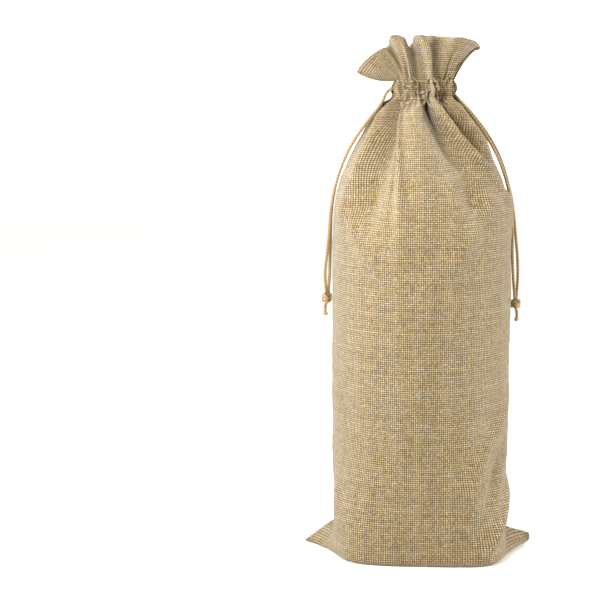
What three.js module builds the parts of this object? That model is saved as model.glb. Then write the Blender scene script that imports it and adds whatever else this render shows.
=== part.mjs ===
// A drawstring wine gift bag, standing filled out and drawn shut.
//
// Two burlap panels are sewn together at the sides and along the bottom, so the bag is a flat pillow
// that goes round when it is filled. Its bottom corners stand out sideways as two ears. The top edge
// of each panel is turned in and sewn down twice, which makes a frill with a cord channel under it.
// Two drawstrings run round in the channel, one out of each side, and each has its two ends tied in
// a knot.
//
// Millimetres, +Z up, front to -Y. The origin is on the floor, under the middle of the bag.
import * as THREE from "three";

// Panels, as cut and as filled.
const flatWidth = 160; // seam to seam, laid flat
const clothThickness = 1.2;
const bodyRadius = flatWidth / Math.PI; // the filled bag goes round
const seamGap = 0.3; // between any two pieces that touch

// Base: a rounded rectangle with an ear at each side. The ears draw it in a little from the round body.
const frontFoldDrawIn = 6.9; // at the ends of the straight front fold
const baseDepthDrawIn = 3.9; // at the front
const baseSideDrawIn = 3.4; // just above an ear
const foldRadius = 3; // where the wall turns in to the floor
const earReach = 19; // how far an ear stands out from the side
const earTipHeight = 6;
const earRootHeight = 16;
const roundHeight = 44; // the section is round from here up

// Shoulder, neck and frill.
const shoulderHeight = 188; // where the wall starts to lean in
const neckHeight = 265.5; // middle of the cord channel
const neckRadius = 18;
const channelMargin = 2.2; // from a drawstring to the row of stitching beside it
const frillHeight = 27; // above the upper stitching
const frillRadius = 33;
const gatheredThickness = 3.2; // one layer of cloth, drawn up in folds at the neck
const frillThickness = 2.2; // one layer at the frill's top
const hemBelowStitch = 3; // the turned-in edge ends this far under the lower stitching
const slitClearance = 0.65; // beside a drawstring, in the slit where it leaves the channel
const slitFoot = 4; // height over which the side seam opens into the slit

// Seam allowances and stitching.
const allowanceWidth = 7;
const allowanceThickness = 1.2;
const allowanceGap = 0.45; // to the panel that it is pressed against
const seamUnderSlit = 11; // from the end of a side seam's allowance up to the slit's foot
const threadDiameter = 0.6;
const threadGap = 0.45; // to the panel that it is sewn through
const stitchEndMargin = 1.2; // from the end of a stitch row to the slit, along the cloth

// Drawstrings.
const cordDiameter = 1.8;
const channelClearance = 0.6; // round the cord, inside the channel
const cordClearance = 0.3; // between a cord and whatever it lies on
const cordSpacing = 1; // between the two drawstrings in the channel, one above the other
const strandSpacing = 0.9; // between the two strands of one drawstring, where they leave the slit
const knotRadius = 2.6;
const knotHeight = 5.4;
const endLength = 7; // cord left below a knot

const columns = 20; // facets across one panel
const cordSides = 8;
const threadSides = 6;

const cordPitch = cordDiameter + cordSpacing;
const strandHalfGap = (cordDiameter + strandSpacing) / 2; // from the middle of the slit
const slitHalfWidth = strandHalfGap + cordDiameter / 2 + slitClearance;
const channelHeight = cordPitch + cordDiameter + 2 * channelMargin; // between the rows of stitching
const channelBottom = neckHeight - channelHeight / 2;
const channelTop = neckHeight + channelHeight / 2;
const standingHeight = channelTop + frillHeight;
const sideSeamTop = channelBottom - slitFoot - seamUnderSlit;
const baseHalfWidth = bodyRadius - frontFoldDrawIn;
const baseHalfDepth = bodyRadius - baseDepthDrawIn;
const baseSide = bodyRadius - baseSideDrawIn;

const { smoothstep, lerp } = THREE.MathUtils;
const evenly = (count) => Array.from({ length: count + 1 }, (_, i) => i / count);

const jute = new THREE.MeshStandardMaterial({ color: 0xc4ab84, roughness: 0.95, metalness: 0 });
const cordMaterial = new THREE.MeshStandardMaterial({ color: 0xa8843f, roughness: 0.7, metalness: 0 });
const threadMaterial = new THREE.MeshStandardMaterial({ color: 0xcdb88f, roughness: 0.8, metalness: 0 });

// ---- The front panel's outer surface, as rows of half sections, from the bottom seam to the frill ----

// The two panels stand a little apart along the side seams, and open into the slits at the channel.
const seamAt = (z) =>
  lerp(seamGap / 2, slitHalfWidth, smoothstep(z, channelBottom - slitFoot, channelBottom));

// Across a panel, share 0 is its left edge and 1 its right one.
function circlePoint(share, radius, seam) {
  const start = Math.asin(seam / radius);
  const angle = lerp(Math.PI - start, start, share);
  return new THREE.Vector2(radius * Math.cos(angle), -radius * Math.sin(angle));
}

// The base's half section: side, front corner, front corner, side.
function basePoint(share, sideReach, inset, seam) {
  const corner = new THREE.Vector2(baseHalfWidth - inset, inset - baseHalfDepth);
  const side = new THREE.Vector2(sideReach - inset, -seam);
  const mirror = share < 0.5 ? -1 : 1;
  const fromSide = Math.min(share, 1 - share) * 4;
  const point = fromSide < 1 ? side.lerp(corner, fromSide) : corner.setX(corner.x * (2 - fromSide));
  return point.setX(point.x * mirror);
}

// A row is a height and a function from a share to a point on the outside of the cloth.
function sectionRow(z, radius, section) {
  const point = (share) => {
    const p = section(share, seamAt(z));
    return new THREE.Vector3(p.x, p.y, z);
  };
  return { z, radius, point };
}

function roundRow(radius, z) {
  return sectionRow(z, radius, (share, seam) => circlePoint(share, radius, seam));
}

// From the floor up, the ears shrink away first and then the rounded rectangle turns into a circle.
function baseRow(z, inset) {
  const ear = 1 - smoothstep(z, earTipHeight, earRootHeight);
  const square = 1 - smoothstep(z, earTipHeight, roundHeight);
  const sideReach = baseSide + earReach * ear;
  return sectionRow(z, bodyRadius, (share, seam) =>
    circlePoint(share, bodyRadius, seam).lerp(basePoint(share, sideReach, inset, seam), square),
  );
}

// The bottom seam: the floor's edge drawn in to the middle plane.
function bottomSeamRow() {
  const edge = baseRow(0, foldRadius);
  const point = (share) => edge.point(share).multiply(new THREE.Vector3(0.92, 0, 0)).setY(-seamGap / 2);
  return { z: 0, radius: bodyRadius, point };
}

const shoulder = new THREE.CubicBezierCurve(
  new THREE.Vector2(bodyRadius, shoulderHeight),
  new THREE.Vector2(bodyRadius, lerp(shoulderHeight, channelBottom, 0.55)),
  new THREE.Vector2(neckRadius + 9, channelBottom - 11),
  new THREE.Vector2(neckRadius, channelBottom + 3),
);
const frill = new THREE.QuadraticBezierCurve(
  new THREE.Vector2(neckRadius, channelTop - 2),
  new THREE.Vector2(lerp(neckRadius, frillRadius, 0.67), channelTop + frillHeight * 0.14),
  new THREE.Vector2(frillRadius, standingHeight),
);
const profile = [
  new THREE.Vector2(bodyRadius, (roundHeight + shoulderHeight) / 2),
  ...shoulder.getPoints(11),
  ...frill.getPoints(6),
];

function radiusAt(z) {
  const above = profile.findIndex((p) => p.y > z);
  if (above < 1) return bodyRadius;
  const [low, high] = [profile[above - 1], profile[above]];
  return lerp(low.x, high.x, (z - low.y) / (high.y - low.y));
}

const foldMiddle = 1 - Math.SQRT1_2;
const between = (low, high, count) => evenly(count).map((share) => lerp(low, high, share));
const panelRows = [
  bottomSeamRow(),
  baseRow(0, foldRadius),
  baseRow(foldRadius * foldMiddle, foldRadius * foldMiddle),
  baseRow(foldRadius, 0),
  ...between(earTipHeight, earRootHeight, 3).map((z) => baseRow(z, 0)),
  ...between(earRootHeight, roundHeight, 3).slice(1).map((z) => baseRow(z, 0)),
  ...profile.map((p) => roundRow(p.x, p.y)),
];
// The turned-in edge, from the frill's top fold down.
const hemRows = [
  ...panelRows.filter((row) => row.z > channelBottom + 0.5).reverse(),
  ...[channelBottom, channelBottom - hemBelowStitch].map((z) => roundRow(radiusAt(z), z)),
];

// ---- Depths of the layers, measured inwards from the outer surface ----

function layerThickness(z) {
  const drawnUp = lerp(clothThickness, gatheredThickness, smoothstep(z, shoulderHeight, channelBottom));
  return lerp(drawnUp, frillThickness, smoothstep(z, channelTop, standingHeight));
}

// The panel and its turned-in edge part in the channel to make room for a cord.
const hemSpace = (z) =>
  z > channelBottom - 0.01 && z < channelTop + 0.01 ? cordDiameter + 2 * channelClearance : seamGap;

const panelInside = (row) => layerThickness(row.z);
const hemOutside = (row) => panelInside(row) + hemSpace(row.z);
const hemInside = (row) => hemOutside(row) + layerThickness(row.z);
const allowanceOutside = (row) => panelInside(row) + allowanceGap;
const allowanceInside = (row) => allowanceOutside(row) + allowanceThickness;

// ---- Cloth ----

// Which way each point of a surface faces. Above the base it is level, which keeps every row level.
function facing(rows, surface) {
  const across = surface[0].length;
  return surface.map((line, j) =>
    line.map((_, i) => {
      const along = surface[j][Math.min(i + 1, across - 1)].clone().sub(surface[j][Math.max(i - 1, 0)]);
      const low = surface[Math.max(j - 1, 0)][i];
      const rise = surface[Math.min(j + 1, rows.length - 1)][i].clone().sub(low);
      const up = rows[j].z < roundHeight ? rise : new THREE.Vector3(0, 0, 1);
      return along.cross(up).normalize();
    }),
  );
}

// The points at a depth under the outer surface. Side edges stay in line with the side seam.
function layer(rows, sharesOf, depthOf) {
  const surface = rows.map((row) => sharesOf(row).map((share) => row.point(share)));
  const normals = facing(rows, surface);
  return surface.map((line, j) =>
    line.map((point, i) => {
      const moved = point.clone().addScaledVector(normals[j][i], -depthOf(rows[j]));
      return i === 0 || i === line.length - 1 ? moved.setY(point.y) : moved;
    }),
  );
}

// Two grids of points with the same rows and columns, joined along their four edges.
function closedGrid(outer, inner) {
  const rows = outer.length;
  const across = outer[0].length;
  const positions = [...outer.flat(), ...inner.flat()].flatMap((p) => [p.x, p.y, p.z]);
  const at = (side, j, i) => (side * rows + j) * across + i;
  const index = [];
  const quad = (a, b, c, d) => index.push(a, b, c, a, c, d);
  for (let j = 0; j < rows - 1; j++) {
    for (let i = 0; i < across - 1; i++) {
      quad(at(0, j, i), at(0, j, i + 1), at(0, j + 1, i + 1), at(0, j + 1, i));
      quad(at(1, j, i), at(1, j + 1, i), at(1, j + 1, i + 1), at(1, j, i + 1));
    }
    quad(at(0, j, 0), at(0, j + 1, 0), at(1, j + 1, 0), at(1, j, 0));
    const last = across - 1;
    quad(at(0, j, last), at(1, j, last), at(1, j + 1, last), at(0, j + 1, last));
  }
  for (let i = 0; i < across - 1; i++) {
    const top = rows - 1;
    quad(at(0, 0, i), at(1, 0, i), at(1, 0, i + 1), at(0, 0, i + 1));
    quad(at(0, top, i), at(0, top, i + 1), at(1, top, i + 1), at(1, top, i));
  }
  const geometry = new THREE.BufferGeometry();
  geometry.setAttribute("position", new THREE.Float32BufferAttribute(positions, 3));
  geometry.setIndex(index);
  geometry.computeVertexNormals();
  return geometry;
}

// One sheet: up the outside to the top fold, then down again as the turned-in edge.
function panel() {
  const shares = () => evenly(columns);
  return closedGrid(
    [...layer(panelRows, shares, () => 0), ...layer(hemRows, shares, hemInside)],
    [...layer(panelRows, shares, panelInside), ...layer(hemRows, shares, hemOutside)],
  );
}

// A round cord or thread along a curve.
function tube(points, diameter, steps, sides) {
  const corners = evenly(sides).slice(1).map((share) => {
    const angle = 2 * Math.PI * share;
    return new THREE.Vector2(Math.cos(angle), Math.sin(angle)).multiplyScalar(diameter / 2);
  });
  const extrudePath = new THREE.CatmullRomCurve3(points);
  return new THREE.ExtrudeGeometry(new THREE.Shape(corners), { extrudePath, steps, bevelEnabled: false });
}

const bag = new THREE.Group();

function add(name, geometry, material, turn = 0) {
  const mesh = new THREE.Mesh(geometry, material);
  mesh.name = name;
  mesh.rotation.z = turn;
  bag.add(mesh);
  return mesh;
}

// ---- Panels: the back is the front, turned half round ----

const sides = { front: 0, back: Math.PI };

for (const [side, turn] of Object.entries(sides)) add(`${side}_panel`, panel(), jute, turn);

// ---- Seam allowances: both panels' edges, pressed together against the inside of the back one ----

const seamRows = [
  ...panelRows.filter((row) => row.z > earRootHeight + 1 && row.z < sideSeamTop - 1),
  roundRow(radiusAt(sideSeamTop), sideSeamTop),
];
const fromEdge = (row) => [0, allowanceWidth / (Math.PI * row.radius)];
const toEdge = (row) => fromEdge(row).map((share) => 1 - share).reverse();

// The back panel is turned round, so its first edge is on the right.
for (const [side, sharesOf] of [["right", fromEdge], ["left", toEdge]]) {
  const strip = closedGrid(
    layer(seamRows, sharesOf, allowanceOutside),
    layer(seamRows, sharesOf, allowanceInside),
  );
  add(`${side}_side_seam`, strip, jute, sides.back);
}

const bottomSeamLength = 2 * (baseSide + earReach - 4 * foldRadius);
add(
  "bottom_seam",
  new THREE.BoxGeometry(bottomSeamLength, allowanceWidth, allowanceThickness),
  jute,
).position.set(0, seamGap + allowanceWidth / 2, clothThickness + seamGap + allowanceThickness / 2);

// ---- Two rows of stitching on each panel, above and below the cord channel ----

function stitchRow(z) {
  const cloth = roundRow(radiusAt(z), z);
  const margin = stitchEndMargin / (Math.PI * cloth.radius);
  const outwards = 1 + (threadGap + threadDiameter / 2) / cloth.radius;
  const points = evenly(columns).map((share) =>
    cloth.point(lerp(margin, 1 - margin, share)).multiply(new THREE.Vector3(outwards, outwards, 1)),
  );
  return tube(points, threadDiameter, columns, threadSides);
}

for (const [side, turn] of Object.entries(sides)) {
  add(`${side}_upper_stitching`, stitchRow(channelTop), threadMaterial, turn);
  add(`${side}_lower_stitching`, stitchRow(channelBottom), threadMaterial, turn);
}

// ---- Drawstrings ----

// The stretch inside the channel: once round, with both ends reaching out into the slit.
const loopRadius = neckRadius - gatheredThickness - channelClearance - cordDiameter / 2;
const slitEnd = neckRadius - 1.5;

function channelLoop(height) {
  const turnIn = Math.PI / 9;
  const ring = evenly(24).map((share) => {
    const angle = lerp(turnIn, 2 * Math.PI - turnIn, share);
    return [loopRadius * Math.cos(angle), loopRadius * Math.sin(angle)];
  });
  const bend = [
    [slitEnd, strandHalfGap],
    [loopRadius + 1.4, strandHalfGap + 0.2],
    [loopRadius, strandHalfGap + 1.5],
  ];
  const back = bend.map(([x, y]) => [x, -y]).reverse();
  const points = [...bend, ...ring, ...back].map(([x, y]) => new THREE.Vector3(x, y, height));
  return tube(points, cordDiameter, 42, cordSides);
}

// A strand leaves the slit level, follows the bag's side down and ends on the knot. Points are
// (outwards, forwards, up). The stand-offs from the cloth are chosen by hand, slit to knot.
function strandPoints(height, knotUp, spread, standOffs) {
  const foot = knotUp + knotHeight / 2 + cordClearance;
  const start = height - 9;
  const hanging = standOffs.map((standOff, i) => {
    const share = i / (standOffs.length - 1);
    const up = lerp(start, foot, share);
    const out = radiusAt(up) + cordDiameter / 2 + cordClearance + standOff;
    const forwards = lerp(strandHalfGap, spread, Math.sin(Math.PI * share)) - 0.4 * share ** 4;
    return [out, forwards, up];
  });
  return [
    [slitEnd + 0.5, strandHalfGap, height],
    [neckRadius + 0.6, strandHalfGap, height - 0.3],
    [neckRadius + 2.6, strandHalfGap, height - 2.4],
    ...hanging,
  ];
}

const drawstrings = {
  left_drawstring: {
    outwards: -1,
    height: neckHeight + cordPitch / 2,
    knotUp: 146,
    knotStandOff: 0.9,
    strands: {
      front: { spread: 3.1, standOffs: [0.3, 0.6, 0.8, 0.4, 0.2, 0.3, 0.7, 1.9, 3.2, 2.5] },
      back: { spread: 3.4, standOffs: [0.5, 0.9, 1, 0.5, 0.3, 0.2, 0.3, 0.4, 0.7, 1.4] },
    },
  },
  right_drawstring: {
    outwards: 1,
    height: neckHeight - cordPitch / 2,
    knotUp: 143.5,
    knotStandOff: 1.6,
    strands: {
      front: { spread: 3.2, standOffs: [0.4, 0.7, 0.7, 0.4, 0.3, 0.3, 0.4, 0.7, 1.4, 2.5] },
      back: { spread: 3.6, standOffs: [1.3, 2.1, 2, 1.4, 1.2, 1.6, 2.6, 3.8, 4.1, 3.4] },
    },
  },
};
const strandSteps = 20;

// An overhand knot as a plain body: two rounded wraps with a groove between them.
function knotBody() {
  const wrap = knotHeight / 4;
  const bulge = (middle) =>
    evenly(4).map((share) => {
      const angle = Math.PI * (share - 0.5);
      return new THREE.Vector2(knotRadius - wrap * (1 - Math.cos(angle)), middle + wrap * Math.sin(angle));
    });
  const outline = [
    new THREE.Vector2(0, -knotHeight / 2),
    ...bulge(-wrap),
    ...bulge(wrap).slice(1),
    new THREE.Vector2(0, knotHeight / 2),
  ];
  return new THREE.LatheGeometry(outline, 12).rotateX(Math.PI / 2);
}

for (const [name, { outwards, height, knotUp, knotStandOff, strands }] of Object.entries(drawstrings)) {
  const knotOut = radiusAt(knotUp) + knotRadius + knotStandOff;
  const place = ([out, forwards, up], side) =>
    new THREE.Vector3(outwards * out, side === "front" ? -forwards : forwards, up);

  add(`${name}_channel_loop`, channelLoop(height), cordMaterial, outwards < 0 ? Math.PI : 0);
  add(`${name}_knot`, knotBody(), cordMaterial).position.set(outwards * knotOut, 0, knotUp);
  for (const [side, { spread, standOffs }] of Object.entries(strands)) {
    const route = strandPoints(height, knotUp, spread, standOffs).map((point) => place(point, side));
    add(`${name}_${side}_strand`, tube(route, cordDiameter, strandSteps, cordSides), cordMaterial);
    const top = knotUp - knotHeight / 2 - cordClearance;
    const end = [
      [knotOut, cordDiameter / 2 + 0.2, top],
      [knotOut + 0.3, cordDiameter / 2 + 0.5, top - endLength / 2],
      [knotOut + 0.2, cordDiameter / 2 + 1.1, top - endLength],
    ].map((point) => place(point, side));
    add(`${name}_${side}_end`, tube(end, cordDiameter, 3, cordSides), cordMaterial);
  }
}

export default bag;
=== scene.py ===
# A burlap wine gift bag, standing filled out and drawn shut with its two drawstrings.
import math

import bpy
import numpy as np
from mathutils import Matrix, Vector, noise


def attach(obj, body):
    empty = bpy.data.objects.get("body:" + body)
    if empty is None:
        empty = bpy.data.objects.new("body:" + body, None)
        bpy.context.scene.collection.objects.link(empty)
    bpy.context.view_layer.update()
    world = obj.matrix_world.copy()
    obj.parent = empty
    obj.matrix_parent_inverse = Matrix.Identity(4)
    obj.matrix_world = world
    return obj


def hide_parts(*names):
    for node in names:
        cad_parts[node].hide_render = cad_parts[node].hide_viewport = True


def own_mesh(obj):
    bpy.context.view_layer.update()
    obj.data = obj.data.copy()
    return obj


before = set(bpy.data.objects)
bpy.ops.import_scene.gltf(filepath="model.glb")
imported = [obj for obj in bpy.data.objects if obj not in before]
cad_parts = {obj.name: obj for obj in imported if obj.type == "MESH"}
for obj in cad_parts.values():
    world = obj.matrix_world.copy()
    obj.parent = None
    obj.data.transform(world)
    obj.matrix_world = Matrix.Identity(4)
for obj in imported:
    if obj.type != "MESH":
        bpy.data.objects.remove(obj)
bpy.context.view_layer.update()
scene = bpy.context.scene
scene.view_settings.view_transform = "Standard"

# ---- Camera ----
# A long lens a little above the bag's frilled top, looking slightly down and to the left of the bag.
camera_data = bpy.data.cameras.new("camera")
camera_data.lens = 114.6
camera = bpy.data.objects.new("camera", camera_data)
camera.location = (0, -1.1, 0.306)
camera.rotation_euler = (math.radians(90 - 8.33), 0, math.radians(3.64))
scene.collection.objects.link(camera)
scene.camera = camera

# ---- Drawstrings ----
# Two cords of waxed golden-brown braid, 1.8 mm thick. Each runs round in the channel under the frill,
# leaves it by the slit on its own side, hangs down the bag in two strands and ends in an overhand
# knot with two short frayed ends.
CORD = 1.8
CORD_CLEARANCE = 0.3  # between a cord and the cloth that it lies on
NECK_RADIUS, BODY_RADIUS = 18.0, 50.93
SHOULDER = [(BODY_RADIUS, 188), (BODY_RADIUS, 228.2), (27, 250), (NECK_RADIUS, 264)]


def bezier(points, count):
    t = np.linspace(0, 1, count)[:, None]
    points = [np.array(p, float) for p in points]
    while len(points) > 1:
        points = [a * (1 - t) + b * t for a, b in zip(points, points[1:])]
    return points[0]


shoulder_line = bezier(SHOULDER, 60)


def side_radius(z):
    return np.interp(z, shoulder_line[:, 1], shoulder_line[:, 0])


def smooth_path(points, steps):
    """A rounded line through the points, with a number of steps between each two."""
    p = [np.array(q, float) for q in points]
    p = [2 * p[0] - p[1], *p, 2 * p[-1] - p[-2]]
    line = []
    for a, b, c, d in zip(p, p[1:], p[2:], p[3:]):
        for i in range(steps):
            t = i / steps
            square, cube = 2 * a - 5 * b + 4 * c - d, 3 * b - a - 3 * c + d
            line.append(0.5 * (2 * b + (c - a) * t + square * t**2 + cube * t**3))
    return np.array([*line, p[-2]])


def tube(name, lines, diameters, sides=12):
    """Round tubes in millimetres along some lines, as one mesh. Points keep their turn and run for the braid."""
    vertices, faces, weave = [], [], []
    for line, diameter in zip(lines, diameters):
        first = len(vertices)
        line = [Vector(p) for p in line]
        ahead = Vector((0, 0, 1))
        side = None
        run = 0.0
        for j, p in enumerate(line):
            q, r = line[max(j - 1, 0)], line[min(j + 1, len(line) - 1)]
            ahead = (r - q).normalized()
            side = ahead.orthogonal() if side is None else side - ahead * side.dot(ahead)
            side = side.normalized()
            other = ahead.cross(side)
            run += (p - q).length
            radius = float(diameter[j] if hasattr(diameter, "__len__") else diameter) / 2
            for i in range(sides):
                turn = 2 * math.pi * i / sides
                vertices.append(p + radius * (math.cos(turn) * side + math.sin(turn) * other))
                weave.append((i / sides, run, 0))
        for j in range(len(line) - 1):
            for i in range(sides):
                a, b = first + j * sides + i, first + j * sides + (i + 1) % sides
                faces.append((a, b, b + sides, a + sides))
        faces.append(tuple(reversed(range(first, first + sides))))
        faces.append(tuple(range(len(vertices) - sides, len(vertices))))
    mesh = bpy.data.meshes.new(name)
    mesh.from_pydata([v * 0.001 for v in vertices], [], faces)
    mesh.attributes.new("weave", "FLOAT_VECTOR", "POINT").data.foreach_set("vector", np.array(weave).ravel())
    mesh.polygons.foreach_set("use_smooth", [len(f) == 4 for f in faces])
    piece = bpy.data.objects.new(name, mesh)
    scene.collection.objects.link(piece)
    return piece


class Nodes:
    """Short calls for wiring one material's nodes."""

    def __init__(self, name):
        self.material = bpy.data.materials.new(name)
        self.material.use_nodes = True
        self.tree = self.material.node_tree
        self.shader = self.tree.nodes["Principled BSDF"]

    def add(self, kind, inputs=(), **settings):
        node = self.tree.nodes.new(kind)
        for key, value in settings.items():
            setattr(node, key, value)
        for key, value in dict(inputs).items():
            self.put(node.inputs[key], value)
        return node

    def put(self, socket, value):
        if isinstance(value, bpy.types.NodeSocket):
            self.tree.links.new(value, socket)
        else:
            socket.default_value = value

    def math(self, operation, a, b=0.0, c=0.0, clamp=False):
        return self.add("ShaderNodeMath", {0: a, 1: b, 2: c}, operation=operation, use_clamp=clamp).outputs[0]

    def ramp(self, value, stops):
        node = self.add("ShaderNodeValToRGB", {0: value})
        elements = node.color_ramp.elements
        while len(elements) < len(stops):
            elements.new(0.5)
        for element, (place, colour) in zip(elements, stops):
            element.position, element.color = place, (*colour, 1)
        return node.outputs[0]

    def mix(self, share, a, b, blend="MIX"):
        node = self.add("ShaderNodeMix", data_type="RGBA", blend_type=blend)
        for socket, value in zip((node.inputs[0], node.inputs[6], node.inputs[7]), (share, a, b)):
            self.put(socket, value)
        return node.outputs[2]


def cord_material():
    n = Nodes("waxed_braided_cord")
    weave = n.add("ShaderNodeAttribute", attribute_name="weave").outputs["Vector"]
    place = n.add("ShaderNodeSeparateXYZ", {0: weave})
    # Two bands are wound each way and cross every 0.9 mm.
    wound = n.math("MULTIPLY", place.outputs[0], 2.0)
    climb = n.math("MULTIPLY", place.outputs[1], 0.55)
    one_way = n.math("SINE", n.math("MULTIPLY", n.math("ADD", wound, climb), 2 * math.pi))
    other_way = n.math("SINE", n.math("MULTIPLY", n.math("SUBTRACT", wound, climb), 2 * math.pi))
    strands = n.math("MULTIPLY_ADD", n.math("MAXIMUM", one_way, other_way), 0.5, 0.5)
    patches = n.add("ShaderNodeTexNoise", {"Scale": 160.0, "Detail": 3.0}).outputs[0]
    shade = n.math("ADD", n.math("MULTIPLY", strands, 0.55), n.math("MULTIPLY", patches, 0.5), clamp=True)
    browns = [(0.2, (0.15, 0.085, 0.027)), (0.6, (0.34, 0.22, 0.08)), (1.0, (0.5, 0.36, 0.16))]
    n.put(n.shader.inputs["Base Color"], n.ramp(shade, browns))
    relief = n.add("ShaderNodeBump", {"Strength": 0.7, "Distance": 0.00022, "Height": strands})
    n.put(n.shader.inputs["Normal"], relief.outputs[0])
    n.shader.inputs["Roughness"].default_value = 0.48
    n.shader.inputs["Sheen Weight"].default_value = 0.15
    return n.material


waxed_cord = cord_material()

STRAND_HALF_GAP = 1.35
FIRST_HANG = 9  # a strand turns down on to the shoulder this far under its slit
KNOT_TOP = 3  # the strands go into a knot this far above its middle
KNOT_RADIUS = 2.6
LOOP_RADIUS = 13.3
# For each strand: how far it spreads forwards or back, and how far it stands off the cloth on its way down.
DRAWSTRINGS = {
    "left": dict(out=-1, height=266.9, knot_up=146, knot_off=0.9,
                 front=(3.1, [0.3, 0.6, 0.8, 0.4, 0.2, 0.3, 0.7, 1.9, 3.2, 2.5]),
                 back=(3.4, [0.5, 0.9, 1, 0.5, 0.3, 0.2, 0.3, 0.4, 0.7, 1.4])),
    "right": dict(out=1, height=264.1, knot_up=143.5, knot_off=1.6,
                  front=(3.2, [0.4, 0.7, 0.7, 0.4, 0.3, 0.3, 0.4, 0.7, 1.4, 2.5]),
                  back=(3.6, [1.3, 2.1, 2, 1.4, 1.2, 1.6, 2.6, 3.8, 4.1, 3.4])),
}


def strand_route(height, knot_up, spread, stand_offs):
    """One strand from the slit down to its knot: (outwards, forwards, up) in millimetres."""
    shares = np.linspace(0, 1, len(stand_offs))
    ups = height - FIRST_HANG + (knot_up + KNOT_TOP - height + FIRST_HANG) * shares
    outs = side_radius(ups) + CORD / 2 + CORD_CLEARANCE + np.array(stand_offs)
    forwards = STRAND_HALF_GAP + (spread - STRAND_HALF_GAP) * np.sin(np.pi * shares) - 0.4 * shares**4
    start = [(17.0, height), (18.6, height - 0.3), (20.6, height - 2.4)]
    return [*[(o, STRAND_HALF_GAP, up) for o, up in start], *zip(outs, forwards, ups)]


for side, d in DRAWSTRINGS.items():
    out, knot_up = d["out"], d["knot_up"]
    knot_out = float(side_radius(knot_up)) + KNOT_RADIUS + d["knot_off"]
    body = f"{side}_drawstring_knotted_end"

    # The knot: both strands round a small loop, pulled tight, with 7 mm left below it.
    lines = []
    for forward, phase in ((-1, 0.0), (1, math.pi)):
        top = (out * knot_out, forward * 0.95, knot_up + KNOT_TOP)
        ring = []
        for t in np.linspace(0, 1, 15):
            turn = phase + t * 2.55 * math.pi
            reach = 2.0 + 0.4 * math.sin(3 * turn)
            up = knot_up + 1.5 - 3.3 * t + 0.9 * math.sin(2 * turn)
            ring.append((out * knot_out + reach * math.cos(turn), reach * math.sin(turn), up))
        low = knot_up - 2.7
        tail = [
            (out * (knot_out + 0.3), forward * 1.1, low),
            (out * (knot_out + 0.9), forward * 1.5, low - 3),
            (out * (knot_out + 0.6 + 0.5 * forward), forward * 2.2, low - 7),
        ]
        lines.append(smooth_path([top, *ring, *tail], 4))
    widths = []
    for line in lines:
        width = np.full(len(line), CORD * 0.94)
        width[-3:] *= (1.05, 1.15, 1.25)  # the cut end frays open
        widths.append(width)
    knot = tube(f"{side}_overhand_knot", lines, widths)
    knot.data.materials.append(waxed_cord)
    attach(knot, body)
    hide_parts(f"{side}_drawstring_knot", f"{side}_drawstring_front_end", f"{side}_drawstring_back_end")

    for strand, forward in (("front", -1), ("back", 1)):
        route = [(out * o, forward * f, u) for o, f, u in strand_route(d["height"], knot_up, *d[strand])]
        path = smooth_path(route, 8)
        cord = tube(f"{side}_{strand}_cord", [path], [CORD])
        cord.data.materials.append(waxed_cord)
        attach(cord, f"{side}_drawstring_strands")
        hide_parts(f"{side}_drawstring_{strand}_strand")
        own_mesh(cord)

    # Round inside the channel, with both ends turned out into the slit.
    turns = np.radians(np.linspace(20, 340, 25))
    ring = [(LOOP_RADIUS * math.cos(a), LOOP_RADIUS * math.sin(a)) for a in turns]
    bend = [(16.5, STRAND_HALF_GAP), (14.7, 1.55), (LOOP_RADIUS, 2.85)]
    around = [*bend, *ring, *[(x, -y) for x, y in reversed(bend)]]
    loop_path = smooth_path([(out * x, out * y, d["height"]) for x, y in around], 3)
    loop = tube(f"{side}_cord_in_channel", [loop_path], [CORD])
    loop.data.materials.append(waxed_cord)
    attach(loop, "bag")
    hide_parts(f"{side}_drawstring_channel_loop")

# ---- Burlap panels ----
# Two panels of plain-woven burlap, eight threads to the centimetre, sewn at the sides and along the
# bottom. Each has its top edge turned in to make the frill and the cord channel. The filled bag
# stretches them smooth below, and the drawn cords pleat them at the neck.
COLUMNS = 240  # points across one panel, less one
THREAD = 1.22  # from one thread to the next
FLAT_WIDTH = 160


def smoothstep(x, low, high):
    t = np.clip((x - low) / (high - low), 0, 1)
    return t * t * (3 - 2 * t)


def fold(degrees, z, radius, path):
    """A crease that runs down the cloth. Each point of its path is (degrees, height, depth, width)."""
    path = sorted(path, key=lambda p: p[1])
    heights = [p[1] for p in path]
    middle, depth, width = (np.interp(z, heights, [p[k] for p in path]) for k in (0, 2, 3))
    around = (degrees - middle + 180) % 360 - 180
    return depth * np.exp(-((np.radians(around) * radius / width) ** 2))


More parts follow.
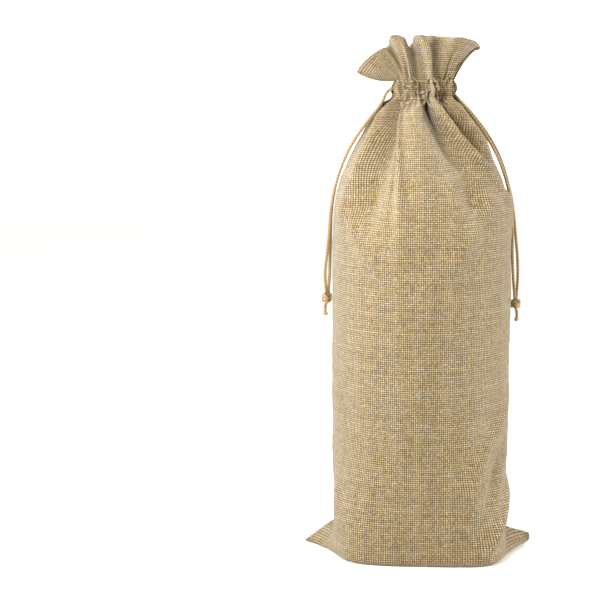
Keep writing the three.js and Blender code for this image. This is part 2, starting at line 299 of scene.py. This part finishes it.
FRONT_FOLDS = [
    # bright ridge down the left shoulder, and the valley between it and the middle panel
    [(-66, 268, 1.5, 2.2), (-60, 258, 3.6, 2.6), (-50, 243, 4.6, 3.6), (-50, 226, 4.2, 5),
     (-58, 206, 2.6, 7), (-64, 186, 0.8, 9), (-66, 170, 0, 9)],
    [(-45, 266, -2.4, 1.8), (-41, 256, -6.0, 3.0), (-34, 242, -8.0, 5.5), (-31, 224, -6.6, 7.5),
     (-33, 205, -3.8, 9), (-36, 188, -1.2, 10), (-36, 174, 0, 10)],
    # the middle panel laps over that valley with a sharp edge
    [(-30, 259, 1.6, 1.2), (-25, 250, 3.2, 1.7), (-19, 236, 3.4, 2.2), (-15, 214, 2.0, 3.0),
     (-14, 190, 0.9, 4), (-14, 165, 0.4, 5), (-14, 140, 0, 6)],
    [(-36, 258, -2.6, 1.2), (-30, 250, -4.0, 1.5), (-24, 236, -4.0, 1.9), (-20, 214, -2.2, 2.4),
     (-19, 192, -0.6, 3), (-19, 175, 0, 4)],
    # smooth middle bulge
    [(-12, 262, 1.0, 4.0), (-8, 254, 4.2, 5.5), (-4, 244, 4.4, 8), (0, 230, 2.8, 11), (5, 210, 0.8, 14),
     (5, 195, 0, 14)],
    # deep fold right of the middle, and the narrow bright ridge beside it
    [(2, 271, -3.2, 1.4), (6, 262, -6.5, 1.9), (12, 254, -9.0, 2.8), (21, 244, -8.0, 4.5),
     (30, 231, -6.0, 7), (38, 215, -3.4, 9), (43, 198, -1.0, 10), (45, 186, 0, 10)],
    [(16, 266, 2.4, 1.8), (18, 261, 4.2, 2.0), (25, 254, 5.6, 2.3), (34, 244, 6.2, 2.8),
     (49, 230, 5.6, 3.6), (69, 214, 3.6, 5), (84, 201, 1.6, 7), (88, 184, 0, 9)],
    # valley and soft dimples on the right shoulder
    [(36, 266, -3.0, 1.8), (42, 257, -6.0, 2.6), (50, 247, -7.0, 4.2), (60, 234, -6.0, 6),
     (69, 220, -3.0, 7), (76, 206, 0, 8)],
    [(36, 222, 0, 7), (39, 206, -4.0, 7), (44, 192, -2.4, 8), (46, 178, 0, 8)],
    [(58, 212, 0, 6), (42, 193, 2.6, 6), (29, 180, 3.0, 7), (18, 166, 1.4, 8), (12, 152, 0, 9)],
    [(-40, 218, 0, 7), (-39, 203, -3.2, 8), (-37, 188, 0, 9)],
    [(-62, 206, 0, 6), (-46, 187, 2.4, 7), (-32, 172, 2.2, 7), (-22, 156, 0, 8)],
    [(58, 266, 1.6, 2), (62, 257, 3.2, 3), (70, 242, 2.6, 5), (80, 224, 0, 6)],
    [(-80, 268, -2.0, 2), (-78, 254, -3.2, 4), (-76, 236, -2.2, 6), (-76, 218, 0, 7)],
    # each flute carries on through the channel
    [(-22, 276, 2.6, 4), (-18, 268, 1.8, 2.4), (-10, 262, 1.2, 2.4), (-8, 256, 0, 3)],
    [(-40, 274, -2.5, 2), (-38, 266, -1.5, 1.6), (-38, 260, 0, 2)],
    [(-2, 274, -4.0, 1.8), (0, 266, -2.6, 1.5), (1, 261, 0, 2)],
    [(13, 276, 3.0, 3.4), (16, 268, 2.6, 2.4), (17, 262, 1.6, 2.2), (18, 257, 0, 3)],
    [(29, 274, -4.0, 2.2), (29, 266, -2.6, 1.6), (30, 261, 0, 2)],
    [(48, 274, 2.0, 3.5), (46, 267, 1.8, 2.5), (44, 260, 0, 3)],
    # slack above the right ear
    [(88, 98, 0, 5), (66, 80, 2.8, 4.5), (46, 62, 3.4, 5.5), (32, 42, 2.4, 6), (26, 26, 0, 7)],
    [(74, 70, 0, 4), (58, 53, -3.0, 4.5), (45, 36, -3.6, 5.5), (36, 16, -1.6, 6), (33, 6, 0, 6)],
    [(86, 48, 0, 4), (68, 36, 3.2, 3.5), (52, 22, 3.6, 3.8), (42, 8, 1.4, 4), (40, 2, 0, 4)],
    [(88, 72, 0, 6), (88, 46, -2.2, 7), (86, 30, 0, 6)],
    [(-72, 66, 0, 6), (-62, 38, 1.4, 6), (-54, 14, 0.8, 6), (-50, 3, 0, 6)],
]
BACK_FOLDS = [
    [(104, 264, 2.4, 2.5), (108, 254, 3.6, 4), (112, 238, 3, 6), (114, 214, 1.2, 8), (114, 196, 0, 9)],
    [(122, 270, -3.9, 2), (124, 260, -6.9, 3), (128, 246, -6, 5), (132, 228, -3.6, 8), (136, 206, -1.2, 9),
     (138, 192, 0, 9)],
    [(138, 266, 2.7, 3), (142, 256, 4.2, 4), (148, 240, 3.6, 6), (152, 220, 1.8, 9), (156, 196, 0, 10)],
    [(158, 268, -4.2, 2), (160, 258, -6.6, 2.5), (164, 244, -4.8, 5), (168, 226, -2.7, 8), (172, 200, 0, 10)],
    [(176, 266, 2.1, 4), (178, 254, 4.2, 6), (182, 238, 3.3, 9), (186, 216, 1.5, 11), (188, 190, 0, 12)],
    [(196, 268, -4.5, 2), (198, 258, -7.5, 3), (203, 244, -5.7, 5), (208, 224, -3, 8), (212, 198, 0, 9)],
    [(212, 266, 2.4, 2.5), (216, 254, 3.9, 4), (222, 236, 3, 6), (228, 214, 1.4, 8), (232, 192, 0, 9)],
    [(232, 266, -3.6, 2), (236, 256, -5.7, 3.5), (240, 240, -4.8, 6), (244, 220, -2.4, 8), (248, 200, 0, 9)],
    [(252, 264, 2.1, 2.5), (252, 254, 3, 4), (250, 236, 1.8, 6), (248, 216, 0, 8)],
    [(104, 84, 0, 6), (124, 62, 1.7, 6), (138, 40, 2, 7), (146, 20, 0, 7)],
    [(236, 70, 0, 6), (222, 50, 1.5, 6), (212, 30, 1.5, 7), (204, 12, 0, 7)],
]
FOLDS = [*FRONT_FOLDS, *BACK_FOLDS]


def pleats(degrees, z):
    """The small gathers round the channel. They open out below it and in the frill."""
    turn = np.radians(degrees)
    phase = 19 * turn + 1.3 * np.sin(3 * turn + 0.7) + 0.9 * np.sin(5 * turn + 2.1)
    phase = phase + 0.5 * np.sin((z - 262) * 0.6 + 4 * turn)
    fine = 0.45 * np.sin(37 * turn + 2 * np.sin(4 * turn) + 0.5 * z)
    strength = 1.6 * smoothstep(z, 246, 264)
    return strength * (np.cos(phase) + 0.35 * np.cos(2 * phase + 0.6) + fine)


SQUARE_TOP = 70  # the filled bag is round from here up
BASE_ROUNDING = 2.5  # radius where the wall turns in to the floor
TIGHTEST = 14.9  # the cords' loops keep the drawn cloth this far from the middle


def squared(s, c):
    """Points of the squared lower body, whose right corners are squarer than its left ones."""
    power = np.where(s < 0, 3.6, 5.0)
    half = np.where(s < 0, 49.6, 50.4)
    reach = ((np.abs(s) / half) ** power + (np.abs(c) / 50.6) ** power) ** (-1 / power)
    return reach * s, -reach * c


def wall(degrees, z):
    """Points of the cloth's outside at one height, below the frill."""
    s, c = np.sin(np.radians(degrees)), np.cos(np.radians(degrees))
    radius = float(side_radius(z))
    x, y = radius * s, -radius * c
    if z < SQUARE_TOP:
        bx, by = squared(s, c)
        top = np.where(s < 0, 15.5, 11.5)
        away = np.degrees(np.arctan2(np.abs(s), np.abs(c)))
        share = np.clip((away - 45) / 45, 0, 1)
        crease = np.clip(z / top, 0, 0.999)
        corner = np.radians(45 + 45 * crease)
        cx, cy = squared(np.sign(s) * np.sin(corner), np.cos(corner))
        # The left ear runs out to a point on the floor, the right one is blunt and stands up.
        blunt = 62.8 + 2.6 * smoothstep(z, 0, 4) - 14.5 * smoothstep(z, 7.0, 11.5)
        tip = np.where(s < 0, 68.4 - 1.33 * z, blunt)
        on_ear = np.clip((share - crease) / (1 - crease), 0, 1)
        hollow = np.where(s < 0, 1.4, 0.4) * np.sin(np.pi * on_ear)
        ex = np.abs(cx) + np.maximum(tip - np.abs(cx), 0) * on_ear - hollow
        ey = np.abs(cy) * (1 - on_ear) ** 1.2
        ear = (share > crease) & (z < top)
        bx = np.where(ear, np.sign(s) * ex, bx)
        by = np.where(ear, -np.sign(c) * ey, by)
        square = 1 - float(smoothstep(z, 12, SQUARE_TOP))
        x, y = x + (bx - x) * square, y + (by - y) * square
    rounding = 0.0
    if z < BASE_ROUNDING:
        rounding = BASE_ROUNDING - math.sqrt(max(0.0, BASE_ROUNDING**2 - (BASE_ROUNDING - z) ** 2))
    lean = np.where(s < 0, 0.3, 0.9) * smoothstep(z, 196, 232) * (1 - smoothstep(z, 252, 262))
    # The folds are deepest along the shoulder.
    depth = 1 + 0.35 * smoothstep(z, 170, 215) * (1 - smoothstep(z, 255, 262))
    creases = depth * sum(fold(degrees, z, max(radius, 12), f) for f in FOLDS)
    out = creases + pleats(degrees, z) - rounding - lean
    # The right side is a little fuller, and each side seam pulls in a groove.
    out = out + 1.2 * smoothstep(s, 0.8, 1.0) * smoothstep(z, 10, 40) * (1 - smoothstep(z, 196, 220))
    from_seam = np.radians(np.abs(np.abs((degrees + 180) % 360 - 180) - 90)) * radius
    out = out - 0.8 * np.exp(-((from_seam / 2.2) ** 2)) * smoothstep(z, 12, 30)
    # The channel puffs out between its two rows of stitching.
    out = out + 1.4 * math.exp(-(((z - 267.0) / 3.0) ** 2))
    for row_height in (262.0, 272.0):
        out = out - 0.9 * math.exp(-(((z - row_height) / 1.3) ** 2))
    # The cords draw it in, as far as their own loops allow.
    if z > 256:
        out = out - np.where(s < 0, 3.2, 2.2) * smoothstep(z, 256, 264)
    if z > 262:
        out = np.maximum(out, TIGHTEST - radius)
    return x + out * s, y - out * c, np.full_like(x, z)


# The frill's edge, all the way round: (degrees at the neck, rightwards, forwards, up).
FRILL_EDGE = [
    # the wide bell over the left slit
    (-90, -37, 0, 276.3), (-76, -35, 9, 280.0), (-62, -28.5, 15.5, 286), (-50, -21.8, 17.5, 290.3),
    (-42, -19.2, 12, 291.5),
    # two narrow upright flutes, with a deep gap between them
    (-37, -19.0, 15, 295), (-31, -17.6, 22, 297), (-21, -12.2, 23, 297.2), (-14, -9.6, 18, 296),
    (-9, -9.0, 11.5, 292),
    (-2, -7.2, 8.5, 291), (4, -5.8, 11, 293.5), (8, -5.0, 18, 296.8), (13, -0.8, 25, 297.4),
    (18, 3.6, 21, 297.2),
    # a broad deep valley
    (21, 4.9, 13, 297), (25, 6.2, 11, 296.8), (31, 9.8, 9.5, 296.8), (37, 13.4, 11, 296.6),
    (41, 15.2, 13.5, 296.5),
    # the wide flute over the right slit
    (46, 17.2, 19.5, 296.4), (56, 22.5, 20.5, 295.8), (67, 28, 16, 294.3), (79, 31.2, 8.5, 292.2),
    (90, 32, 0, 290.3),
    (102, 30, -8, 289.0), (112, 25, -11.5, 288.5), (120, 25.5, -17, 290), (132, 21.5, -23.5, 293),
    (142, 15, -22, 294.5),
    (150, 11.5, -17, 294.5), (158, 10.5, -23, 295.5), (168, 6, -29.5, 296.4), (180, -1, -30.5, 295.5),
    (190, -6.5, -25, 292),
    (197, -8.5, -17.5, 290.5), (204, -12, -22, 290.5), (214, -18, -27.5, 289.5), (226, -24, -24, 286),
    (234, -24.5, -16.5, 285),
    (240, -27, -14, 284), (252, -33.4, -11.5, 280), (262, -36.6, -6, 277.2), (270, -37, 0, 276.3),
]


def frill_edge(degrees):
    """The frill's edge above each of some places round the neck."""
    line = smooth_path([(x, -forwards, z) for _, x, forwards, z in FRILL_EDGE], 16)
    corners = [d for d, _, _, _ in FRILL_EDGE]
    at = np.interp(np.arange(len(line)) / 16, np.arange(len(corners)), corners)
    return np.stack([np.interp(degrees, at, line[:, k]) for k in range(3)], axis=1)


WALL_HEIGHTS = [
    0, 0.3, 0.8, 1.5, *np.arange(2.5, 20, 1.25), *np.arange(20, 60, 2.0), *np.arange(60, 188, 3.0),
    *np.arange(188, 246, 1.6), *np.arange(246, 272.2, 0.65),
]
BASE_STEPS = 16
FRILL_STEPS = 30


def relaxed(grid, rounds):
    """Evens out a grid of points a little, as cloth does by itself. Its edges stay."""
    for _ in range(rounds):
        around = grid[:-2, 1:-1] + grid[2:, 1:-1] + grid[1:-1, :-2] + grid[1:-1, 2:]
        middle = grid.copy()
        middle[1:-1, 1:-1] = 0.5 * grid[1:-1, 1:-1] + 0.125 * around
        grid = middle
    return grid


def normals_of(grid):
    """Which way the cloth faces at each point, outwards."""
    across = np.gradient(grid, axis=1)
    along = np.gradient(grid, axis=0)
    n = np.cross(across, along)
    return n / np.maximum(np.linalg.norm(n, axis=2, keepdims=True), 1e-9)


LAYER_DEPTH = 1.5  # from the panel's outside to its turned-in edge's
CORD_ROOM = 3.0  # more than that between the rows of stitching, where the cords run


def panel_grid(first, last):
    """One panel between two places round the bag: its outside alone, and with its edge turned in."""
    def row_at(z):
        # The seam closes the panels' edges together, up to the slit where the cords come out.
        half_open = 0.06 + 2.9 * smoothstep(z, 252, 261)
        gap = np.degrees(np.arcsin(half_open / side_radius(z)))
        return np.stack(wall(np.linspace(first + gap, last - gap, COLUMNS + 1), float(z)), axis=1)

    rows = []
    floor = row_at(0)
    facing = np.sign(floor[COLUMNS // 2, 1])
    for share in np.linspace(1, 0, BASE_STEPS, endpoint=False):
        # The floor runs from the bottom seam, a little off the table, out to the wall's foot.
        row = floor * np.array([1 - 0.08 * share, 1 - share, 0])
        row[:, 1] += facing * 0.15
        row[:, 2] = 0.15 + 0.5 * share**6
        rows.append(row)
    rows += [row_at(z) for z in WALL_HEIGHTS]
    neck = rows[-1]
    edge = frill_edge(np.linspace(first, last, COLUMNS + 1))
    # The frill's sides stay open above the slits, wide enough to let the cords swing up between them.
    edge[:, 1] = facing * np.maximum(np.abs(edge[:, 1]), 5.0)
    ahead = edge - neck
    lift = 0.38 * smoothstep(edge[:, 2:], 277, 290) - 0.19
    rise = np.array([0, 0, 1.0]) * lift * np.linalg.norm(ahead, axis=1, keepdims=True)
    control = neck + ahead * np.array([0.45, 0.45, 0.5]) + rise
    for t in np.linspace(0, 1, FRILL_STEPS + 1)[1:]:
        rows.append((1 - t) ** 2 * neck + 2 * t * (1 - t) * control + t * t * edge)
    outer = relaxed(np.array(rows), 2)
    # Small slack all over, which calms at the floor, in the channel and at the seams.
    n = normals_of(outer)
    places = [Vector(p) for p in outer.reshape(-1, 3)]
    broad = np.array([noise.noise(p * 0.045) for p in places]).reshape(outer.shape[:2])
    small = np.array([noise.noise(p * 0.13 + Vector((7, 3, 1))) for p in places]).reshape(outer.shape[:2])
    slack = broad * 0.9 + small * 0.3
    calm = smoothstep(outer[:, :, 2], 3, 30) * (1 - 0.6 * smoothstep(outer[:, :, 2], 258, 264))
    from_seam = np.minimum(np.arange(COLUMNS + 1), COLUMNS - np.arange(COLUMNS + 1))
    outer = outer + n * (slack * calm * smoothstep(from_seam, 0, 9))[:, :, None]
    # The edge is turned in and taken down to just under the lower stitching.
    n = normals_of(outer)
    start = BASE_STEPS + len([z for z in WALL_HEIGHTS if z < 258])
    inner = []
    for j in range(len(outer) - 1, start, -1):
        z = outer[j, :, 2]
        depth = LAYER_DEPTH + CORD_ROOM * smoothstep(z, 274.5, 271) * smoothstep(z, 259, 262)
        depth = np.where(j > BASE_STEPS + len(WALL_HEIGHTS), LAYER_DEPTH, depth)
        inner.append(outer[j] - n[j] * depth[:, None])
    last_step = outer[-1] - outer[-2]
    fold_over = outer[-1] + 0.55 * last_step / np.linalg.norm(last_step, axis=1, keepdims=True) - n[-1] * 0.75
    return outer, np.concatenate([outer, fold_over[None], np.array(inner)])


def grid_object(name, grid, width=FLAT_WIDTH):
    """A piece of cloth from a grid of points, and its length in millimetres."""
    rows, across = grid.shape[:2]
    index = np.arange(rows * across).reshape(rows, across)
    faces = np.stack([index[:-1, :-1], index[:-1, 1:], index[1:, 1:], index[1:, :-1]], axis=2).reshape(-1, 4)
    mesh = bpy.data.meshes.new(name)
    mesh.from_pydata((grid.reshape(-1, 3) * 0.001).tolist(), [], faces.tolist())
    # Where each point lies in the flat cloth, counted in threads.
    row_steps = np.median(np.linalg.norm(np.diff(grid, axis=0), axis=2), axis=1)
    run = np.concatenate([[0], np.cumsum(row_steps)])
    u, v = np.meshgrid(np.linspace(0, width, across), run)
    weave = np.stack([u / THREAD, v / THREAD, np.zeros_like(u)], axis=2)
    mesh.attributes.new("weave", "FLOAT_VECTOR", "POINT").data.foreach_set("vector", weave.ravel())
    mesh.polygons.foreach_set("use_smooth", [True] * len(faces))
    piece = bpy.data.objects.new(name, mesh)
    scene.collection.objects.link(piece)
    return piece, run[-1]


def burlap_material():
    n = Nodes("burlap")
    weave = n.add("ShaderNodeAttribute", attribute_name="weave").outputs["Vector"]
    place = n.add("ShaderNodeSeparateXYZ", {0: weave})
    # No thread is quite straight or even.
    wander = n.add("ShaderNodeTexNoise", {"Scale": 260.0, "Detail": 2.0}).outputs[1]
    shift = n.add("ShaderNodeSeparateXYZ", {0: wander})
    u, v = (
        n.math("ADD", place.outputs[k], n.math("MULTIPLY", n.math("SUBTRACT", shift.outputs[k], 0.5), 0.4))
        for k in (0, 1)
    )
    iu, iv = n.math("FLOOR", u), n.math("FLOOR", v)
    fu, fv = n.math("SUBTRACT", u, iu), n.math("SUBTRACT", v, iv)
    over = n.math("PINGPONG", n.math("ADD", iu, iv), 1.0)  # 0 or 1, thread by thread
    warp_round = n.math("SINE", n.math("MULTIPLY", fu, math.pi))
    weft_round = n.math("SINE", n.math("MULTIPLY", fv, math.pi))
    # A thread is thick in its middle, and rises where it passes over.
    def thread_up(own_round, cross_round, rise):
        crossing = n.math("MULTIPLY", cross_round, n.math("MULTIPLY_ADD", over, 2.0 * rise, -1.0 * rise))
        return n.math("MULTIPLY", own_round, n.math("MULTIPLY_ADD", crossing, 0.45, 0.5))

    warp_up = thread_up(warp_round, weft_round, 1)
    weft_up = thread_up(weft_round, warp_round, -1)
    height = n.math("MAXIMUM", warp_up, weft_up)
    on_warp = n.math("GREATER_THAN", warp_up, weft_up)

    def thread_tone(index, along, seed):
        spot = {0: n.math("MULTIPLY", index, 1.73), 1: n.math("MULTIPLY", along, 0.3), 2: seed}
        spot = n.add("ShaderNodeCombineXYZ", spot).outputs[0]
        slow = n.add("ShaderNodeTexNoise", {"Vector": spot, "Scale": 1.0, "Detail": 3.0, "Roughness": 0.7})
        slow = slow.outputs[0]
        own = n.add("ShaderNodeTexWhiteNoise", {"W": n.math("ADD", index, seed)}, noise_dimensions="1D")
        own = own.outputs[0]
        uneven = n.math("MULTIPLY_ADD", own, 0.12, -0.105)
        return n.math("MULTIPLY_ADD", slow, 0.85, uneven)

    warp_tone, weft_tone = thread_tone(iu, v, 3.1), thread_tone(iv, u, 57.7)
    weft_share = n.math("SUBTRACT", 1.0, on_warp)
    tone = n.math("ADD", n.math("MULTIPLY", warp_tone, on_warp), n.math("MULTIPLY", weft_tone, weft_share))
    straws = [
        (0.2, (0.29, 0.21, 0.1)), (0.36, (0.44, 0.35, 0.195)), (0.5, (0.56, 0.475, 0.305)),
        (0.68, (0.73, 0.66, 0.5)),
    ]
    straw = n.ramp(tone, straws)
    # Warmer patches, and painted shade: the threads darken down their flanks and go near black in the gaps
    # between them.
    patches = n.add("ShaderNodeTexNoise", {"Scale": 28.0, "Detail": 3.0}).outputs[0]
    warmth = n.math("MULTIPLY", n.math("SUBTRACT", patches, 0.4, clamp=True), 0.5)
    straw = n.mix(warmth, straw, (0.7, 0.5, 0.24, 1), "MULTIPLY")
    # Painted shade from the weave's height: near black in the gaps, darker down each thread's flanks, full
    # colour on the tops.
    depth = n.ramp(height, [(0.24, (0.05, 0.03, 0.012)), (0.5, (0.62, 0.54, 0.4)), (0.85, (1, 1, 1))])
    n.put(n.shader.inputs["Base Color"], n.mix(1.0, straw, depth, "MULTIPLY"))
    fibres = n.add("ShaderNodeTexNoise", {"Scale": 3500.0, "Detail": 2.0}).outputs[0]
    hairy = n.math("ADD", height, n.math("MULTIPLY", fibres, 0.18))
    relief = n.add("ShaderNodeBump", {"Strength": 0.8, "Distance": 0.0004, "Height": hairy})
    n.put(n.shader.inputs["Normal"], relief.outputs[0])
    n.shader.inputs["Roughness"].default_value = 0.92
    n.shader.inputs["Specular IOR Level"].default_value = 0.2
    n.shader.inputs["Sheen Weight"].default_value = 0.25
    n.shader.inputs["Sheen Roughness"].default_value = 0.6
    return n.material


burlap = burlap_material()
outers = {}
for side, first, last in (("front", -90, 90), ("back", 90, 270)):
    outer, whole = panel_grid(first, last)
    outers[side] = outer
    panel, cloth_length = grid_object(f"{side}_burlap_panel", whole)
    panel.data.materials.append(burlap)
    thicken = panel.modifiers.new("thickness", "SOLIDIFY")
    thicken.thickness, thicken.offset = 0.0006, -1
    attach(panel, "bag")
    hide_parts(f"{side}_panel")

# ---- Stitching ----
# Straw-coloured cotton thread, sewn through panel and turned-in edge above and below the cord
# channel, in short stitches that dip into the cloth between them.
thread = Nodes("stitching_cotton")
tone = thread.add("ShaderNodeTexNoise", {"Scale": 900.0, "Detail": 2.0}).outputs[0]
cottons = [(0.3, (0.42, 0.31, 0.15)), (0.7, (0.74, 0.62, 0.4))]
thread.put(thread.shader.inputs["Base Color"], thread.ramp(tone, cottons))
relief = thread.add("ShaderNodeBump", {"Strength": 0.5, "Distance": 0.0001, "Height": tone})
thread.put(thread.shader.inputs["Normal"], relief.outputs[0])
thread.shader.inputs["Roughness"].default_value = 0.8
STITCH_THREAD = 0.5
STITCH_LIFT, STITCH_DIP = 0.18, 0.35  # a stitch's middle stands off the cloth, and its ends dip into it
STITCH_COLUMNS = 4
STITCH_PITCH = 5
for side, outer in outers.items():
    outwards = normals_of(outer)
    for row_name, z in (("upper", 271.8), ("lower", 262)):
        row = BASE_STEPS + int(np.argmin(np.abs(np.array(WALL_HEIGHTS) - z)))
        on_cloth = outer[row] + outwards[row] * STITCH_LIFT
        stitches = []
        for start in range(3, COLUMNS - 6, STITCH_PITCH):
            end = start + STITCH_COLUMNS
            line = on_cloth[start:end].copy()
            line[0] -= outwards[row, start] * STITCH_DIP
            line[-1] -= outwards[row, end - 1] * STITCH_DIP
            stitches.append(smooth_path(line, 3))
        piece = tube(f"{side}_{row_name}_stitches", stitches, [STITCH_THREAD] * len(stitches), sides=6)
        piece.data.materials.append(thread.material)
        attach(piece, "bag")
        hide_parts(f"{side}_{row_name}_stitching")

# ---- Seam allowances ----
# The panels' raw edges inside the bag: two layers of burlap, 7 mm wide, overlocked together and
# pressed against the back panel. One runs up each side, and one lies along the bottom.
ALLOWANCE = 7
TWO_LAYERS = 0.0011  # in metres
DEPTH_INSIDE = 1.9  # from the panel's outside in to the middle of a side allowance


def seam_allowance(name, grid, replaced):
    piece, _ = grid_object(name, grid, width=ALLOWANCE)
    piece.data.materials.append(burlap)
    thicken = piece.modifiers.new("two layers", "SOLIDIFY")
    thicken.thickness, thicken.offset = TWO_LAYERS, 0
    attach(piece, "bag")
    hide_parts(replaced)


back = outers["back"]
inwards = -normals_of(back)
heights = back[:, COLUMNS // 2, 2]
for side, first_column, step in (("right", 0, 1), ("left", COLUMNS, -1)):
    grid = []
    for row in np.flatnonzero((heights > 25.5) & (heights < 246)):
        spacing = np.linalg.norm(back[row, first_column + step] - back[row, first_column])
        columns = first_column + step * np.linspace(0.2, ALLOWANCE / max(spacing, 0.35), 8)
        line = back[row] + DEPTH_INSIDE * inwards[row]
        grid.append([[np.interp(c, np.arange(COLUMNS + 1), line[:, k]) for k in range(3)] for c in columns])
    grid = np.array(grid)
    seam_allowance(f"{side}_overlocked_seam", grid if step > 0 else grid[:, ::-1], f"{side}_side_seam")

along, across = np.meshgrid(np.linspace(-54, 54, 80), np.linspace(0.4, 0.3 + ALLOWANCE, 8), indexing="ij")
lift = 2.1 + 0.25 * np.sin(along * 0.19) * across / ALLOWANCE
seam_allowance("bottom_overlocked_seam", np.stack([along, across, lift], axis=2), "bottom_seam")

# ---- Floor and light ----
# A plain white table in front of a bright white wall, under soft studio light: a large softbox
# overhead, one to each side of the bag, and a small one close in front of its neck.
TABLE_TOP = -0.0004  # just under the bag, so that the two don't flicker
ROOM_SIDE, WALL_BACK, WALL_TOP = 6, 2.4, 3
floor_mesh = bpy.data.meshes.new("white_table")
wall_foot = [(ROOM_SIDE, WALL_BACK, TABLE_TOP), (-ROOM_SIDE, WALL_BACK, TABLE_TOP)]
near_edge = [(-ROOM_SIDE, -ROOM_SIDE, TABLE_TOP), (ROOM_SIDE, -ROOM_SIDE, TABLE_TOP)]
floor_mesh.from_pydata([*near_edge, *wall_foot], [], [(0, 1, 2, 3)])
floor = bpy.data.objects.new("white_table", floor_mesh)
wall_mesh = bpy.data.meshes.new("white_wall")
wall_head = [(ROOM_SIDE, WALL_BACK, WALL_TOP), (-ROOM_SIDE, WALL_BACK, WALL_TOP)]
wall_mesh.from_pydata([*reversed(wall_foot), *wall_head], [], [(0, 1, 2, 3)])
backdrop = bpy.data.objects.new("white_wall", wall_mesh)
for stage_piece, glow in ((floor, 0.12), (backdrop, 1.0)):
    white = bpy.data.materials.new(stage_piece.name)
    white.use_nodes = True
    shader = white.node_tree.nodes["Principled BSDF"]
    shader.inputs["Base Color"].default_value = (0.9, 0.9, 0.9, 1)
    shader.inputs["Roughness"].default_value = 0.8
    shader.inputs["Emission Color"].default_value = (1, 1, 1, 1)
    shader.inputs["Emission Strength"].default_value = glow
    stage_piece.data.materials.append(white)
    scene.collection.objects.link(stage_piece)

world = bpy.data.worlds.new("studio")
world.use_nodes = True
world.node_tree.nodes["Background"].inputs[0].default_value = (1, 0.92, 0.78, 1)
world.node_tree.nodes["Background"].inputs[1].default_value = 0.22
scene.world = world
for name, place, size, power in (
    ("left_softbox", (-1.2, -0.15, 0.75), 0.35, 13),
    ("front_softbox", (-0.12, -0.27, 0.34), 0.12, 1.1),
    ("right_softbox", (1.3, 0.1, 0.6), 0.35, 17),
    ("overhead_softbox", (-0.1, -0.4, 1.7), 0.7, 15),
):
    data = bpy.data.lights.new(name, "AREA")
    data.shape, data.size, data.energy = "DISK", size, power
    lamp = bpy.data.objects.new(name, data)
    lamp.location = place
    lamp.visible_camera = False
    towards_bag = Vector((0, 0, 0.15)) - Vector(place)
    lamp.rotation_euler = towards_bag.to_track_quat("-Z", "Y").to_euler()
    scene.collection.objects.link(lamp)
